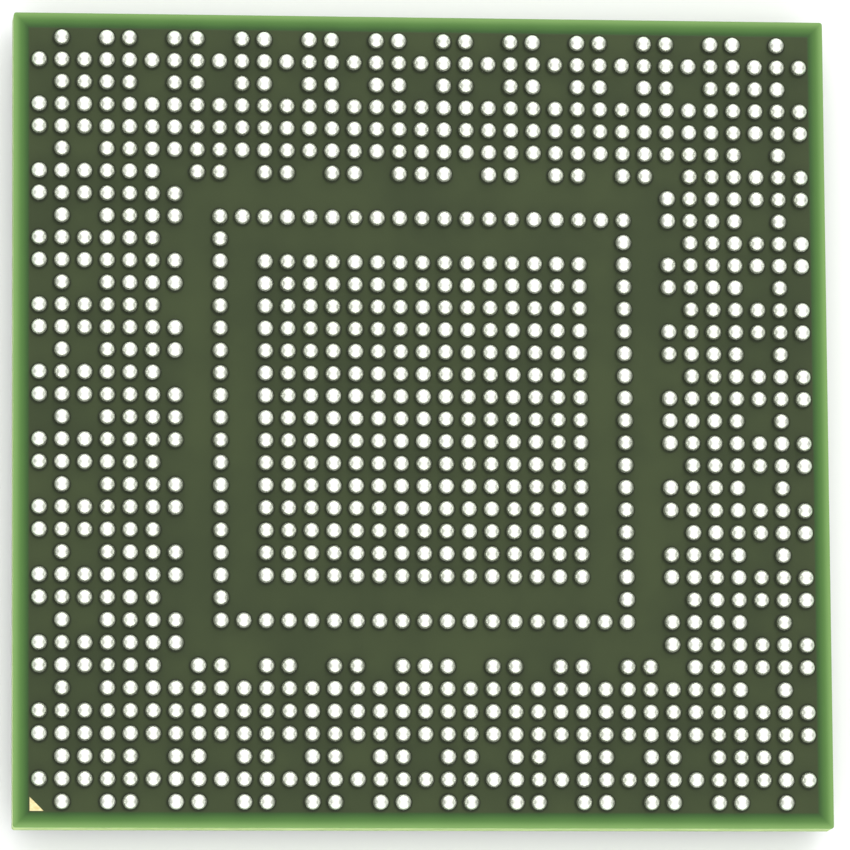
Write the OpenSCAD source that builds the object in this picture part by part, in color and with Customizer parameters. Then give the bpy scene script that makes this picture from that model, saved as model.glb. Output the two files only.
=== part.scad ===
// Bare-die flip-chip ball grid array package, resting on its die with the balls up.
// Units are millimetres. The origin is the centre of the die's back face and +Z points
// from the die through the substrate to the ball tops. Pin A1 is at the -X, -Y corner.

/* [Ball grid] */
// Ball sites along each side of the square grid
grid_n = 35; // [31:2:37]
// Distance between neighbouring ball centres
pitch = 0.8; // [0.7:0.05:1]
// Diameter of a reflowed ball
ball_d = 0.55; // [0.48:0.01:0.6]
// Diameter of the solder mask opening that a ball stands in
mask_opening_d = 0.45; // [0.36:0.01:0.46]
// How far a ball's copper land reaches under the mask all round
land_overlap = 0.05; // [0.02:0.005:0.06]
// Gap between a land and the copper plane around it
land_clearance = 0.06; // [0.03:0.005:0.07]
// Rings of sites in the outer field
field_rings = 7; // [5:1:8]
// Empty rings between the outer field and the single ring
outer_moat_rings = 1; // [1:1:2]
// Empty rings between the single ring and the core block
inner_moat_rings = 1; // [1:1:2]
// Every how many sites a ball is left out of a depopulated ring
skip_step = 3; // [2:1:5]

/* [Substrate] */
// From the outermost ball centres to the edge of the substrate
edge_margin = 0.9; // [0.75:0.05:1.5]
// Radius on the substrate's four corners
corner_r = 0.1; // [0.05:0.01:0.4]
// Thickness of the glass-reinforced core
core_t = 0.8; // [0.4:0.05:1.2]
// Thickness of the build-up layers on each side of the core
build_up_t = 0.13; // [0.06:0.01:0.25]
// Thickness of the outer copper on each side
copper_t = 0.02; // [0.015:0.001:0.035]
// Thickness of the solder mask over the copper
mask_t = 0.025; // [0.015:0.001:0.04]
// How far the outer copper stays back from the substrate's edge
plane_pullback = 0.55; // [0.3:0.05:0.55]

/* [A1 corner mark] */
// Length of each short side of the triangular mark
mark_leg = 0.6; // [0.35:0.01:0.7]
// Gap between the mark's long side and the copper plane
mark_clearance = 0.12; // [0.05:0.01:0.2]
// How far the mark reaches under the mask along its sides
mark_overlap = 0.03; // [0.01:0.005:0.05]

/* [Die and underfill] */
// Die size along X
die_w = 11.2; // [8:0.1:13]
// Die size along Y
die_d = 10.4; // [8:0.1:13]
// Die thickness
die_t = 0.78; // [0.65:0.01:0.9]
// Gap between the die and the substrate, which the bumps bridge
bump_h = 0.08; // [0.05:0.005:0.12]
// Diameter of a bump
bump_d = 0.16; // [0.1:0.01:0.2]
// Distance between bump centres
bump_pitch = 0.6; // [0.5:0.05:1]
// From the die's edge to the outermost bump centres, at least
bump_inset = 0.45; // [0.3:0.05:1]
// How far a bump's pad reaches under the mask all round
bump_pad_overlap = 0.03; // [0.01:0.005:0.05]
// How far the underfill spreads from the foot of the die over the mask
underfill_reach = 0.9; // [0.4:0.05:1.4]
// How far the underfill climbs the die's side
underfill_climb = 0.5; // [0.2:0.02:0.6]
// Thickness of the underfill at its thin edges
underfill_edge_t = 0.03; // [0.02:0.005:0.06]
// Depth of the underfill's hollow meniscus below a straight slope
underfill_sag = 0.1; // [0.04:0.01:0.12]

/* [Capacitors] */
// Capacitors in the row along each side of the die
caps_per_side = 4; // [2:1:4]
// Distance between capacitor centres in a row
cap_spacing = 2.2; // [1.9:0.1:2.6]
// From the underfill's edge to the capacitors' near sides
cap_clearance = 1; // [0.5:0.1:2]
// Length of a capacitor over its metal ends
cap_l = 1; // [0.8:0.05:1.2]
// Width of a capacitor over its metal ends
cap_w = 0.5; // [0.4:0.02:0.7]
// Height of a capacitor over its metal ends
cap_t = 0.5; // [0.4:0.02:0.6]
// Length of each metal end
cap_end_l = 0.25; // [0.15:0.01:0.3]
// Wall thickness of a metal end
cap_end_wall = 0.02; // [0.01:0.005:0.04]
// Radius on a capacitor's edges
cap_edge_r = 0.05; // [0.045:0.005:0.08]
// How far the solder reaches out beyond a capacitor's end
cap_solder_reach = 0.22; // [0.1:0.01:0.3]
// How far the solder climbs a capacitor's end
cap_solder_climb = 0.3; // [0.1:0.01:0.35]
// Thickness of solder between a capacitor and the mask surface, and at its thin edges
cap_solder_t = 0.02; // [0.01:0.005:0.04]
// Depth of the solder's hollow meniscus below a straight slope
cap_solder_sag = 0.05; // [0.01:0.005:0.06]
// How far a capacitor's copper land reaches under the mask all round
cap_land_overlap = 0.05; // [0.02:0.005:0.08]
// Gap between a capacitor's lands and the copper plane around them
cap_land_clearance = 0.1; // [0.06:0.01:0.15]

/* [Hidden] */
ROUND = 48; // facets on circles and arcs
CUT = 0.01; // how far cutting shapes run past the faces they cut
LAST = grid_n - 1;
BOARD = LAST * pitch + 2 * edge_margin;
PLANE = BOARD - 2 * plane_pullback;

// Levels, from the die's back face up to the seats of the balls
Z_DIE_FACE = die_t;
Z_DIE_MASK = Z_DIE_FACE + bump_h;
Z_DIE_COPPER = Z_DIE_MASK + mask_t;
Z_DIE_BUILD_UP = Z_DIE_COPPER + copper_t;
Z_CORE = Z_DIE_BUILD_UP + build_up_t;
Z_BALL_BUILD_UP = Z_CORE + core_t;
Z_BALL_COPPER = Z_BALL_BUILD_UP + build_up_t;
Z_BALL_MASK = Z_BALL_COPPER + copper_t;
Z_BALL_SEAT = Z_BALL_MASK + mask_t;

// Columns count from -X and rows from +Y. A site's ring is its distance in sites from the
// nearest side of the grid, and its run is its distance along the ring from the nearest
// corner of the grid.
function site_x(c) = (c - LAST / 2) * pitch;
function site_y(r) = (LAST / 2 - r) * pitch;
function to_side(i) = min(i, LAST - i);
function ring(c, r) = min(to_side(c), to_side(r));
function run(c, r) = max(to_side(c), to_side(r));

// Three rings of the field leave sites out at every skip_step: the outermost, which has no
// balls at the grid's corners either, the third, which keeps its corners, and the last.
THIRD_RING = 2;
LAST_FIELD_RING = field_rings - 1;
BALL_RING = field_rings + outer_moat_rings;
CORE_RING = BALL_RING + 1 + inner_moat_rings;
function skipped(run, first) = (run - first) % skip_step == 0;
function in_field(ring, run) =
    ring == 0 ? run > 0 && !skipped(run, skip_step - 1) :
    ring == THIRD_RING ? run == THIRD_RING || !skipped(run, skip_step - 1) :
    ring == LAST_FIELD_RING ? !skipped(run, LAST_FIELD_RING) :
    ring < LAST_FIELD_RING;

// The field is four arms that follow each other round the grid like a pinwheel.
function arm(c, r) =
    r < field_rings && c <= LAST - field_rings ? "north" :
    c > LAST - field_rings && r <= LAST - field_rings ? "east" :
    r > LAST - field_rings && c >= field_rings ? "south" : "west";
function zone(c, r) =
    ring(c, r) >= CORE_RING ? "core" :
    ring(c, r) == BALL_RING ? "ring" :
    in_field(ring(c, r), run(c, r)) ? arm(c, r) : "empty";
function sites(wanted) =
    [for (r = [0:LAST]) for (c = [0:LAST]) if (zone(c, r) == wanted) [site_x(c), site_y(r)]];
ARMS = ["north", "east", "south", "west"];
BALL_SITES = concat(sites("core"), sites("ring"), [for (a = ARMS) each sites(a)]);

// Bumps fill a centred grid under the die.
function bump_line(side) =
    let (steps = floor((side - 2 * bump_inset) / bump_pitch))
    [for (i = [0:steps]) (i - steps / 2) * bump_pitch];
BUMP_SITES = [for (x = bump_line(die_w)) for (y = bump_line(die_d)) [x, y]];

// Each capacitor is its name, the turn of its side of the die, its distance out from the
// centre and its place along the row.
CAP_ROW = underfill_reach + cap_clearance + cap_w / 2;
CAP_SIDES = [["east", 0, die_w], ["north", 90, die_d], ["west", 180, die_w], ["south", 270, die_d]];
CAPS = [for (side = CAP_SIDES) for (i = [1:caps_per_side])
    [str("capacitor_", side[0], "_", i), side[1], side[2] / 2 + CAP_ROW,
     (i - (caps_per_side + 1) / 2) * cap_spacing]];
CAP_PAD_L = cap_end_l + cap_solder_reach;
CAP_PAD_X = cap_l / 2 + cap_solder_reach - CAP_PAD_L / 2;

MASK_COLOUR = "#48553a";
SUBSTRATE_COLOUR = "#87a96b";
COPPER_COLOUR = "#b87a4b";
SOLDER_COLOUR = "#d9dccf";
GOLD_COLOUR = "#e6dfb4";
SILICON_COLOUR = "#3c4046";
UNDERFILL_COLOUR = "#2b2a22";
CERAMIC_COLOUR = "#a8906c";

// A disc on each of the given sites
module discs(places, d) {
    for (p = places)
        translate(p) circle(d = d, $fn = ROUND);
}

module rounded_rect(w, d, r) {
    square([w - 2 * r, d], center = true);
    square([w, d - 2 * r], center = true);
    for (x = [-1, 1], y = [-1, 1])
        translate([x * (w / 2 - r), y * (d / 2 - r)]) circle(r, $fn = ROUND);
}

// Section of a fillet between a wall along Y and a floor along X. The hollow meniscus is
// an arc through the fillet's two thin edges, sagging below the straight line by sag.
module hollow_fillet(reach, rise, edge, sag) {
    chord = norm([reach - edge, rise - edge]);
    radius = (pow(chord / 2, 2) + pow(sag, 2)) / (2 * sag);
    middle = [reach + edge, rise + edge] / 2;
    outward = [rise - edge, reach - edge] / chord;
    difference() {
        square([reach, rise]);
        translate(middle + outward * (radius - sag)) circle(radius, $fn = 4 * ROUND);
    }
}

// A slab of thickness t on the level z
module layer(z, t) {
    translate([0, 0, z]) linear_extrude(t) children();
}

module board_outline() {
    rounded_rect(BOARD, BOARD, corner_r);
}

// The A1 mark is a right triangle in the copper plane's -X, -Y corner, drawn in from its
// full outline by inset.
module mark_outline(inset = 0) {
    leg = mark_leg - (2 + sqrt(2)) * inset;
    translate([inset - PLANE / 2, inset - PLANE / 2]) polygon([[0, 0], [leg, 0], [0, leg]]);
}

// The copper stays back from the board's edge and leaves the corner to the A1 mark.
module plane_outline() {
    cut = mark_leg + mark_clearance * sqrt(2) + CUT;
    difference() {
        square(PLANE, center = true);
        translate([-PLANE / 2, -PLANE / 2]) polygon([[-CUT, -CUT], [cut, -CUT], [-CUT, cut]]);
    }
}

// Ball side of the substrate
module ball_land_discs() {
    discs(BALL_SITES, mask_opening_d + 2 * land_overlap);
}

module ball_plane_outline() {
    difference() {
        plane_outline();
        discs(BALL_SITES, mask_opening_d + 2 * (land_overlap + land_clearance));
    }
}

module copper_plane_ball_side() {
    color(COPPER_COLOUR) layer(Z_BALL_COPPER, copper_t) ball_plane_outline();
}

module ball_lands() {
    color(COPPER_COLOUR) layer(Z_BALL_COPPER, copper_t) ball_land_discs();
}

module a1_mark_ball_side() {
    color(GOLD_COLOUR) layer(Z_BALL_COPPER, copper_t) mark_outline();
}

// The mask lies on the copper, comes down to the laminate round the plane and the mark,
// and is open over the lands and the mark. It bridges the thin gaps round the lands.
module solder_mask_ball_side() {
    color(MASK_COLOUR) difference() {
        layer(Z_BALL_COPPER, copper_t + mask_t) board_outline();
        layer(Z_BALL_COPPER - CUT, copper_t + CUT) {
            plane_outline();
            mark_outline();
        }
        layer(Z_BALL_MASK - CUT, mask_t + 2 * CUT) {
            discs(BALL_SITES, mask_opening_d);
            mark_outline(mark_overlap);
        }
    }
}

// A ball is a sphere cut where it meets the rim of its mask opening, on a neck that fills
// the opening down to the land.
module solder_ball() {
    centre_h = sqrt(pow(ball_d, 2) - pow(mask_opening_d, 2)) / 2;
    rotate_extrude($fn = ROUND) {
        intersection() {
            translate([0, centre_h]) circle(d = ball_d, $fn = ROUND);
            square(2 * ball_d);
        }
        translate([0, -mask_t]) square([mask_opening_d / 2, mask_t]);
    }
}

module balls(places) {
    color(SOLDER_COLOUR)
        for (p = places)
            translate([p[0], p[1], Z_BALL_SEAT]) solder_ball();
}

module field_balls_north() { balls(sites("north")); }
module field_balls_east() { balls(sites("east")); }
module field_balls_south() { balls(sites("south")); }
module field_balls_west() { balls(sites("west")); }
module ring_balls() { balls(sites("ring")); }
module core_balls() { balls(sites("core")); }

// Substrate
module core_laminate() {
    color(SUBSTRATE_COLOUR) layer(Z_CORE, core_t) board_outline();
}

module build_up_ball_side() {
    color(SUBSTRATE_COLOUR) layer(Z_BALL_BUILD_UP, build_up_t) board_outline();
}

module build_up_die_side() {
    color(SUBSTRATE_COLOUR) layer(Z_DIE_BUILD_UP, build_up_t) board_outline();
}

// Die side of the substrate
module place_cap_outline(cap) {
    rotate(cap[1]) translate([cap[2], cap[3]]) rotate(90) children();
}

// A capacitor's two pads, grown all round by grow
module cap_pad_outlines(grow = 0) {
    for (cap = CAPS)
        place_cap_outline(cap)
            for (end = [-1, 1])
                translate([end * CAP_PAD_X, 0])
                    square([CAP_PAD_L + 2 * grow, cap_w + 2 * grow], center = true);
}

module cap_windows() {
    grow = cap_land_overlap + cap_land_clearance;
    for (cap = CAPS)
        place_cap_outline(cap)
            square([cap_l + 2 * (cap_solder_reach + grow), cap_w + 2 * grow], center = true);
}

module die_plane_outline() {
    difference() {
        plane_outline();
        square([die_w, die_d], center = true);
        cap_windows();
    }
}

module bump_pad_discs() {
    discs(BUMP_SITES, bump_d + 2 * bump_pad_overlap);
}

module copper_plane_die_side() {
    color(COPPER_COLOUR) layer(Z_DIE_COPPER, copper_t) die_plane_outline();
}

module bump_pads() {
    color(COPPER_COLOUR) layer(Z_DIE_COPPER, copper_t) bump_pad_discs();
}

module capacitor_lands() {
    color(COPPER_COLOUR) layer(Z_DIE_COPPER, copper_t) cap_pad_outlines(cap_land_overlap);
}

module a1_mark_die_side() {
    color(GOLD_COLOUR) layer(Z_DIE_COPPER, copper_t) mark_outline();
}

module solder_mask_die_side() {
    color(MASK_COLOUR) difference() {
        layer(Z_DIE_MASK, mask_t + copper_t) board_outline();
        layer(Z_DIE_COPPER, copper_t + CUT) {
            die_plane_outline();
            bump_pad_discs();
            cap_pad_outlines(cap_land_overlap);
            mark_outline();
        }
        layer(Z_DIE_MASK - CUT, mask_t + 2 * CUT) {
            discs(BUMP_SITES, bump_d);
            cap_pad_outlines();
            mark_outline(mark_overlap);
        }
    }
}

// Die, bumps and underfill
module silicon_die() {
    color(SILICON_COLOUR) linear_extrude(die_t) square([die_w, die_d], center = true);
}

module die_bumps() {
    color(SOLDER_COLOUR) layer(Z_DIE_FACE, bump_h + mask_t) discs(BUMP_SITES, bump_d);
}

module underfill_section() {
    climb = min(underfill_climb, die_t - 2 * underfill_edge_t);
    hollow_fillet(underfill_reach, bump_h + climb, underfill_edge_t, underfill_sag);
}

// The fillet along one side of the die and round the corner that follows it, for a side of
// the given length at the given distance from the centre
module underfill_side(length, out) {
    translate([out, -length / 2, Z_DIE_MASK]) {
        rotate([-90, 0, 0]) linear_extrude(length) underfill_section();
        translate([0, length, 0]) mirror([0, 0, 1])
            rotate_extrude(angle = 90, $fn = ROUND) underfill_section();
    }
}

module underfill() {
    color(UNDERFILL_COLOUR) {
        layer(Z_DIE_FACE, bump_h) difference() {
            square([die_w, die_d], center = true);
            discs(BUMP_SITES, bump_d);
        }
        for (side = CAP_SIDES)
            rotate(side[1])
                underfill_side(side[1] % 180 == 0 ? die_d : die_w, side[2] / 2);
    }
}

// Capacitors, drawn with their length along X and standing on Z = 0
module place_cap(cap) {
    rotate(cap[1]) translate([cap[2], cap[3], Z_DIE_MASK]) rotate([180, 0, 90]) children();
}

// A bar along X whose long edges are rounded
module cap_bar(length, w, t, r) {
    rotate([90, 0, 90]) linear_extrude(length, center = true) rounded_rect(w, t, r);
}

module cap_body() {
    wall = cap_end_wall;
    translate([0, 0, cap_solder_t + cap_t / 2])
        cap_bar(cap_l - 2 * wall, cap_w - 2 * wall, cap_t - 2 * wall, cap_edge_r - wall);
}

module capacitor_body(cap) {
    color(CERAMIC_COLOUR) place_cap(cap) cap_body();
}

module capacitor_ends(cap) {
    color(SOLDER_COLOUR) place_cap(cap) difference() {
        for (end = [-1, 1])
            translate([end * (cap_l - cap_end_l) / 2, 0, cap_solder_t + cap_t / 2])
                cap_bar(cap_end_l, cap_w, cap_t, cap_edge_r);
        cap_body();
    }
}

// Solder fills the mask opening over a land, lies under the metal end and climbs its face.
module cap_solder_section() {
    translate([cap_l / 2 - cap_end_l, -mask_t]) square([CAP_PAD_L, mask_t]);
    translate([cap_l / 2 - cap_end_l, 0]) square([cap_end_l, cap_solder_t]);
    translate([cap_l / 2, 0])
        hollow_fillet(cap_solder_reach, cap_solder_t + cap_solder_climb, cap_solder_t, cap_solder_sag);
}

module capacitor_solder() {
    color(SOLDER_COLOUR)
        for (cap = CAPS)
            place_cap(cap)
                for (end = [0, 1])
                    mirror([end, 0, 0]) rotate([90, 0, 0])
                        linear_extrude(cap_w, center = true) cap_solder_section();
}

solder_mask_ball_side();
copper_plane_ball_side();
ball_lands();
a1_mark_ball_side();
core_balls();
ring_balls();
field_balls_north();
field_balls_east();
field_balls_south();
field_balls_west();
build_up_ball_side();
core_laminate();
build_up_die_side();
solder_mask_die_side();
copper_plane_die_side();
a1_mark_die_side();
underfill();
die_bumps();
bump_pads();
silicon_die();
capacitor_lands();
capacitor_solder();
for (cap = CAPS) {
    capacitor_body(cap);
    capacitor_ends(cap);
}
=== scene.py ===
"""A bare-die ball grid array chip lying on its die, balls up, on a pale studio floor."""
import math

import bpy
from mathutils import Matrix, Vector


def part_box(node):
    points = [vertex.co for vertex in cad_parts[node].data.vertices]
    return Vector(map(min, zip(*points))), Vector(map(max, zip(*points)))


MM = 0.001

# The ball map, in the part's own terms: sites, rings of sites and millimetres.
BALL_PITCH = 0.8
GRID_MIDDLE = 17
THIRD_RING = 2
LAST_FIELD_RING = 6
BALL_RING = 8
CORE_RING = 10
SKIP_STEP = 3
LAND_RADIUS = 0.275

# How near two whole numbers have to be to count as the same
SAME = 0.1

# Camera: high over the ball side, a little to the south-west of the middle.
CAMERA_TARGET = Vector((0.03, -0.25, 2.41)) * MM
CAMERA_DISTANCE = 255.9 * MM
CAMERA_ELEVATION = math.radians(80)
CAMERA_SWING = math.radians(35.6)
CAMERA_ROLL = math.radians(-0.41)
CAMERA_LENS = 306.5
SENSOR_WIDTH = 36
CLIP_START = 0.01

# Studio: a large floor and one softbox in the north-east, in metres and watts.
FLOOR_HALF = 400 * MM
KEY_PLACE = Vector((0.30, 0.34, 0.60))
KEY_SIZE = 0.3
KEY_POWER = 0.6


def linear(red, green, blue):
    """The scene colour of a display colour given from 0 to 255."""
    def channel(value):
        share = value / 255
        return share / 12.92 if share <= 0.04045 else ((share + 0.055) / 1.055) ** 2.4
    return (channel(red), channel(green), channel(blue), 1.0)


class Graph:
    """Adds nodes to one shader tree and wires their inputs."""

    def __init__(self, tree):
        self.tree = tree
        tree.nodes.clear()

    def node(self, kind, inputs=None, **settings):
        made = self.tree.nodes.new(kind)
        for name, value in settings.items():
            setattr(made, name, value)
        for name, value in (inputs or {}).items():
            self.feed(made.inputs[name], value)
        return made

    def feed(self, socket, value):
        if isinstance(value, bpy.types.NodeSocket):
            self.tree.links.new(value, socket)
        else:
            socket.default_value = value

    def maths(self, operation, first, second=0.0, third=0.0):
        wired = {0: first, 1: second, 2: third}
        return self.node("ShaderNodeMath", wired, operation=operation).outputs[0]

    def vector(self, operation, first, second):
        return self.node("ShaderNodeVectorMath", {0: first, 1: second}, operation=operation).outputs[0]

    def ramp(self, value, low, high, start=0.0, end=1.0):
        """A smooth step of value from start at low to end at high."""
        wired = {"Value": value, "From Min": low, "From Max": high, "To Min": start, "To Max": end}
        return self.node("ShaderNodeMapRange", wired, interpolation_type="SMOOTHSTEP").outputs[0]

    def blend(self, share, first, second):
        """The colour first where share is 0, and second where it is 1."""
        made = self.node("ShaderNodeMix", {"Factor": share}, data_type="RGBA")
        self.feed(made.inputs[6], first)
        self.feed(made.inputs[7], second)
        return made.outputs[2]

    def noise(self, where, scale, detail, roughness):
        wired = {"Vector": where, "Scale": scale, "Detail": detail, "Roughness": roughness}
        return self.node("ShaderNodeTexNoise", wired).outputs["Fac"]

    def millimetres(self):
        """The place on the part in its own frame, in millimetres."""
        place = self.node("ShaderNodeTexCoord").outputs["Object"]
        return self.node("ShaderNodeVectorMath", {0: place, "Scale": 1 / MM}, operation="SCALE").outputs[0]

    def parts(self, vector):
        split = self.node("ShaderNodeSeparateXYZ", {0: vector})
        return split.outputs[0], split.outputs[1], split.outputs[2]

    def bump(self, height, strength, distance):
        wired = {"Height": height, "Strength": strength, "Distance": distance}
        return self.node("ShaderNodeBump", wired).outputs["Normal"]

    def surface(self, **inputs):
        """Ends the material with one principled shader."""
        wired = {name.replace("_", " "): value for name, value in inputs.items()}
        shader = self.node("ShaderNodeBsdfPrincipled", wired)
        self.node("ShaderNodeOutputMaterial", {"Surface": shader.outputs[0]})


def new_graph(name):
    material = bpy.data.materials.new(name)
    material.use_nodes = True
    return material, Graph(material.node_tree)


def solder():
    """Reflowed solder: bright, slightly frosted, each ball a little different."""
    material, g = new_graph("solder_finish")
    place = g.millimetres()
    cell = g.vector("SNAP", g.vector("ADD", place, (BALL_PITCH / 2,) * 3), (BALL_PITCH,) * 3)
    luck = g.node("ShaderNodeTexWhiteNoise", {"Vector": cell}, noise_dimensions="3D").outputs["Value"]
    grain = g.noise(place, 26, 4, 0.6)
    tone = g.blend(luck, linear(228, 232, 220), linear(244, 247, 238))
    rough = g.maths("ADD", g.ramp(grain, 0.3, 0.7, 0.34, 0.44), g.maths("MULTIPLY", luck, 0.08))
    g.surface(Base_Color=tone, Metallic=1.0, Roughness=rough, Normal=g.bump(grain, 0.25, 0.004 * MM))
    return material


def kept_by_skipping(g, run, first):
    """0 at every SKIP_STEP sites of a ring, counted from first, and 1 at the others."""
    to_skip = g.maths("PINGPONG", g.maths("SUBTRACT", run, first), SKIP_STEP / 2)
    return g.maths("SUBTRACT", 1, g.maths("COMPARE", to_skip, 0, SAME))


def has_ball(g, column, row):
    """1 at grid sites with a ball and 0 at empty ones, by the rings of the ball map.

    Column and row count from the middle of the grid. A site's ring is how many sites it lies in from
    the nearest side, and its run is how far along the ring it lies from the nearest corner."""
    from_sides = [g.maths("SUBTRACT", GRID_MIDDLE, g.maths("ABSOLUTE", line)) for line in (column, row)]
    ring = g.maths("MINIMUM", *from_sides)
    run = g.maths("MAXIMUM", *from_sides)

    def is_ring(number):
        return g.maths("COMPARE", ring, number, SAME)

    not_corner = g.maths("GREATER_THAN", run, 0.5)
    outermost = g.maths("MULTIPLY", not_corner, kept_by_skipping(g, run, SKIP_STEP - 1))
    own_corner = g.maths("COMPARE", run, THIRD_RING, SAME)
    third = g.maths("MAXIMUM", own_corner, kept_by_skipping(g, run, SKIP_STEP - 1))
    last = kept_by_skipping(g, run, LAST_FIELD_RING)
    ball = g.maths("COMPARE", ring, LAST_FIELD_RING / 2, LAST_FIELD_RING / 2 + SAME)
    for number, rule in ((0, outermost), (THIRD_RING, third), (LAST_FIELD_RING, last)):
        other_ring = g.maths("SUBTRACT", 1, is_ring(number))
        ball = g.maths("MULTIPLY", ball, g.maths("MAXIMUM", rule, other_ring))
    ball = g.maths("ADD", ball, is_ring(BALL_RING))
    return g.maths("ADD", ball, g.maths("GREATER_THAN", ring, CORE_RING - 0.5))


def land_gap_and_shade(g, x, y):
    """1 in the thin copper-free band round each ball's land and 0 away from it; it marks both that band and
    where shade is painted round the foot of each ball.
    """
    site_x, site_y = [g.maths("ROUND", g.maths("DIVIDE", line, BALL_PITCH)) for line in (x, y)]
    aside_x = g.maths("SUBTRACT", x, g.maths("MULTIPLY", site_x, BALL_PITCH))
    aside_y = g.maths("SUBTRACT", y, g.maths("MULTIPLY", site_y, BALL_PITCH))
    squares = g.maths("ADD", g.maths("POWER", aside_x, 2), g.maths("POWER", aside_y, 2))
    near = g.ramp(g.maths("SQRT", squares), LAND_RADIUS + 0.10, LAND_RADIUS + 0.03)
    return g.maths("MULTIPLY", near, has_ball(g, site_x, site_y))


def solder_mask():
    """Green solder mask: olive over copper, darker in the band round each land, partly its own tone and
    partly painted shade round the foot of each ball, and light at the rim.

    The rim has no copper under the mask, so the laminate shows through; its brightening to the edge is a
    painted glow of light passing through the laminate."""
    material, g = new_graph("solder_mask_finish")
    place = g.millimetres()
    x, y, _ = g.parts(place)
    half_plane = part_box("copper_plane_ball_side")[1][0] / MM
    from_middle = g.maths("MAXIMUM", g.maths("ABSOLUTE", x), g.maths("ABSOLUTE", y))
    outside = g.maths("SUBTRACT", from_middle, half_plane)
    rim = g.ramp(outside, -0.03, 0.06)
    gap_and_shade = land_gap_and_shade(g, x, y)
    cloud = g.noise(place, 0.35, 3, 0.5)
    fine = g.noise(place, 9, 4, 0.6)
    over_copper = g.blend(g.ramp(cloud, 0.3, 0.7), linear(43, 54, 26), linear(50, 61, 31))
    # Partly painted shade: the darker tone in the copper-free band round each land also stands for the shade
    # at the foot of each ball.
    gap_tone_and_painted_shade = g.blend(gap_and_shade, over_copper, linear(30, 38, 18))
    # Partly painted glow: the rim's lighter resin tone is real, but its brightening towards the edge stands
    # for light passing through the laminate.
    resin_tone_and_painted_glow = g.blend(g.ramp(outside, 0.0, 0.32), linear(40, 72, 28), linear(68, 106, 47))
    # Painted glow: the outermost band of the rim is painted light green to stand for light shining through
    # the board's edge.
    painted_glow_at_edge = g.blend(g.ramp(outside, 0.25, 0.55), resin_tone_and_painted_glow, linear(108, 143, 80))
    sunk = g.maths("ADD", rim, g.maths("MULTIPLY", gap_and_shade, 0.6))
    relief = g.maths("SUBTRACT", g.maths("MULTIPLY", fine, 0.12), sunk)
    g.surface(Base_Color=g.blend(rim, gap_tone_and_painted_shade, painted_glow_at_edge), Roughness=g.ramp(fine, 0.3, 0.7, 0.36, 0.46),
              Normal=g.bump(relief, 0.5, 0.012 * MM), Specular_IOR_Level=0.25)
    return material


def resin_edge(name, pale, dark, strand_scale):
    """The sawn edge of a laminate: pale resin with glass strands along the cut."""
    material, g = new_graph(name)
    place = g.millimetres()
    strands = g.noise(g.vector("MULTIPLY", place, (0.6, 0.6, 7.0)), strand_scale, 4, 0.6)
    speck = g.noise(place, 14, 3, 0.6)
    g.surface(Base_Color=g.blend(g.ramp(strands, 0.35, 0.65), pale, dark), Roughness=0.55,
              Normal=g.bump(g.maths("ADD", strands, speck), 0.4, 0.01 * MM),
              Subsurface_Weight=0.25, Subsurface_Scale=0.0004, Subsurface_Radius=(0.6, 1.0, 0.4))
    return material


def metal(name, tone, worn, grain_scale, smooth, rough):
    """A plated or rolled metal: a fine grain that changes its tone and gloss."""
    material, g = new_graph(name)
    grain = g.noise(g.millimetres(), grain_scale, 4, 0.6)
    g.surface(Base_Color=g.blend(g.ramp(grain, 0.3, 0.7), tone, worn), Metallic=1.0,
              Roughness=g.ramp(grain, 0.3, 0.7, smooth, rough), Normal=g.bump(grain, 0.2, 0.003 * MM))
    return material


def silicon():
    """The die's back: thinned and polished silicon, dark blue-grey, with faint grinding marks."""
    material, g = new_graph("silicon_finish")
    place = g.millimetres()
    marks = g.noise(g.vector("MULTIPLY", place, (0.4, 14.0, 1.0)), 2.2, 3, 0.5)
    haze = g.noise(place, 0.5, 3, 0.5)
    colour = g.blend(g.ramp(haze, 0.3, 0.7), linear(78, 82, 92), linear(96, 100, 110))
    g.surface(Base_Color=colour, Metallic=0.85, Roughness=g.ramp(marks, 0.3, 0.7, 0.12, 0.22),
              Normal=g.bump(marks, 0.08, 0.002 * MM))
    return material


def underfill():
    """Cured underfill: glossy, near-black amber, with a soft flow surface."""
    material, g = new_graph("underfill_finish")
    flow = g.noise(g.millimetres(), 1.1, 2, 0.5)
    colour = g.blend(g.ramp(flow, 0.3, 0.7), linear(30, 27, 22), linear(48, 40, 30))
    g.surface(Base_Color=colour, Roughness=0.2, Coat_Weight=0.4, Coat_Roughness=0.08,
              Normal=g.bump(flow, 0.3, 0.03 * MM))
    return material


def ceramic():
    """Capacitor ceramic: matt tan-brown with fine speckle."""
    material, g = new_graph("capacitor_ceramic_finish")
    speckle = g.noise(g.millimetres(), 30, 5, 0.7)
    colour = g.blend(g.ramp(speckle, 0.35, 0.65), linear(148, 120, 88), linear(176, 148, 112))
    g.surface(Base_Color=colour, Roughness=0.5, Normal=g.bump(speckle, 0.2, 0.004 * MM))
    return material


def finishes():
    """The finish of each of the record's material slots."""
    return {
        "solder": solder(),
        "solder_mask": solder_mask(),
        "build_up_resin": resin_edge("build_up_finish", linear(140, 178, 96), linear(116, 154, 76), 2.0),
        "laminate": resin_edge("laminate_finish", linear(168, 190, 118), linear(126, 156, 80), 1.2),
        "copper": metal("copper_finish", linear(196, 120, 84), linear(150, 84, 58), 6, 0.3, 0.45),
        "gold_plate": metal("gold_finish", linear(236, 226, 176), linear(214, 196, 140), 8, 0.25, 0.38),
        "tin_plate": metal("tin_finish", linear(206, 206, 202), linear(168, 168, 164), 12, 0.3, 0.45),
        "silicon": silicon(),
        "underfill_resin": underfill(),
        "capacitor_ceramic": ceramic(),
    }


def dress(nodes):
    """Gives every CAD node the finish of its material slot."""
    finish = finishes()
    for node in nodes.values():
        for material_slot in node.material_slots:
            material_slot.material = finish[material_slot.material.name]


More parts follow.
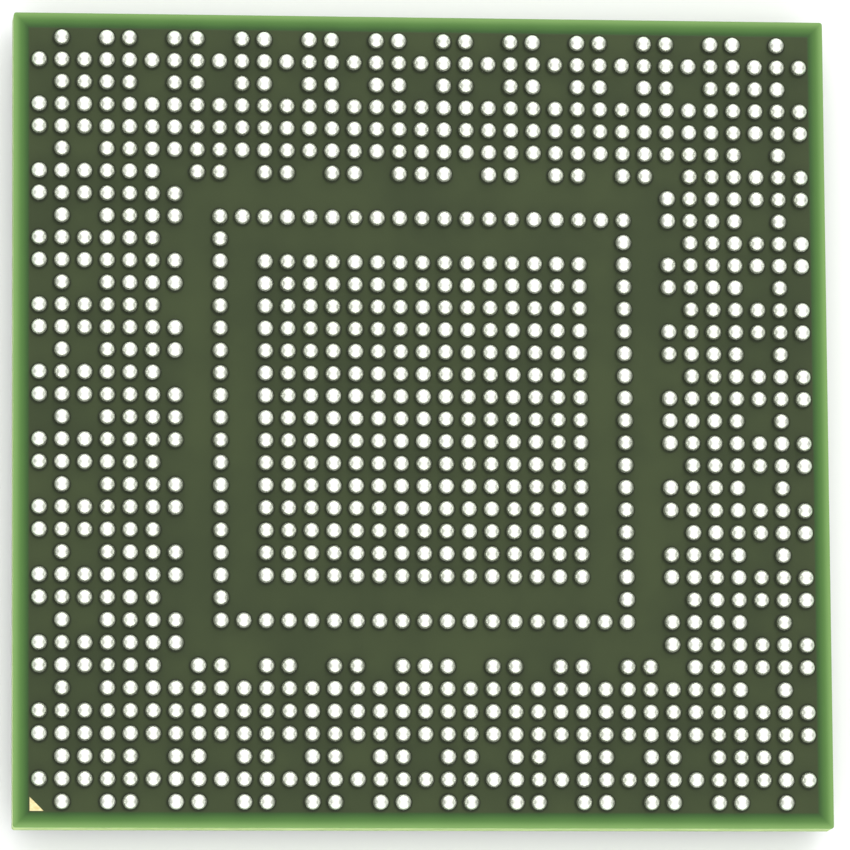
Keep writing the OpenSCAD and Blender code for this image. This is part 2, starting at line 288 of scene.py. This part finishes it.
def add_camera():
    """The camera looks down at the ball side, with the part's north upright in the picture."""
    flat = CAMERA_DISTANCE * math.cos(CAMERA_ELEVATION)
    offset = Vector((-flat * math.sin(CAMERA_SWING), -flat * math.cos(CAMERA_SWING),
                     CAMERA_DISTANCE * math.sin(CAMERA_ELEVATION)))
    back = offset.normalized()
    right = Vector((0, 1, 0)).cross(back).normalized()
    level = Matrix((right, back.cross(right), back)).transposed()
    turn = level @ Matrix.Rotation(CAMERA_ROLL, 3, "Z")
    data = bpy.data.cameras.new("camera")
    data.lens = CAMERA_LENS
    data.sensor_width = SENSOR_WIDTH
    data.clip_start = CLIP_START
    camera = bpy.data.objects.new("camera", data)
    camera.matrix_world = Matrix.Translation(CAMERA_TARGET + offset) @ turn.to_4x4()
    bpy.context.collection.objects.link(camera)
    bpy.context.scene.camera = camera


def add_floor():
    """A plain pale sheet under the part."""
    corners = [(-1, -1, 0), (1, -1, 0), (1, 1, 0), (-1, 1, 0)]
    mesh = bpy.data.meshes.new("floor")
    mesh.from_pydata([Vector(corner) * FLOOR_HALF for corner in corners], [], [(0, 1, 2, 3)])
    floor = bpy.data.objects.new("floor", mesh)
    bpy.context.collection.objects.link(floor)
    material, g = new_graph("floor_finish")
    cloud = g.noise(g.millimetres(), 0.02, 2, 0.5)
    g.surface(Base_Color=g.blend(cloud, linear(226, 227, 228), linear(232, 233, 233)), Roughness=0.7)
    mesh.materials.append(material)


def add_key():
    """A square softbox that faces the part."""
    data = bpy.data.lights.new("key", "AREA")
    data.shape = "SQUARE"
    data.size = KEY_SIZE
    data.energy = KEY_POWER
    lamp = bpy.data.objects.new("key", data)
    lamp.matrix_world = Matrix.Translation(KEY_PLACE) @ KEY_PLACE.to_track_quat("Z", "Y").to_matrix().to_4x4()
    bpy.context.collection.objects.link(lamp)


def add_dome():
    """A bright dome, brightest low in the north and south and dim low in the east and west."""
    world = bpy.data.worlds.new("studio")
    bpy.context.scene.world = world
    world.use_nodes = True
    g = Graph(world.node_tree)
    x, y, _ = g.parts(g.node("ShaderNodeTexCoord").outputs["Generated"])
    side = g.ramp(g.maths("ABSOLUTE", x), 0.55, 0.98, 1.35, 0.25)
    ends = g.ramp(g.maths("ABSOLUTE", y), 0.3, 0.95, 1.0, 2.0)
    strength = g.maths("MULTIPLY", side, ends)
    sky = g.node("ShaderNodeBackground", {"Color": (1.0, 1.0, 0.99, 1.0), "Strength": strength})
    g.node("ShaderNodeOutputWorld", {"Surface": sky.outputs[0]})


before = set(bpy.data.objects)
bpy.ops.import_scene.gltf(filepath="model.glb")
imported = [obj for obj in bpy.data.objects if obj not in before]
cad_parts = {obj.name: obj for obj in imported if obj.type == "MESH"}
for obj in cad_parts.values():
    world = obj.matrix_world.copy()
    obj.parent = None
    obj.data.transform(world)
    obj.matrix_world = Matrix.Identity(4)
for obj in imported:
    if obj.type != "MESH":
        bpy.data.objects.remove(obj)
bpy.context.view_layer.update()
dress(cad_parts)
add_camera()
add_floor()
add_dome()
add_key()
bpy.context.scene.view_settings.view_transform = "Standard"
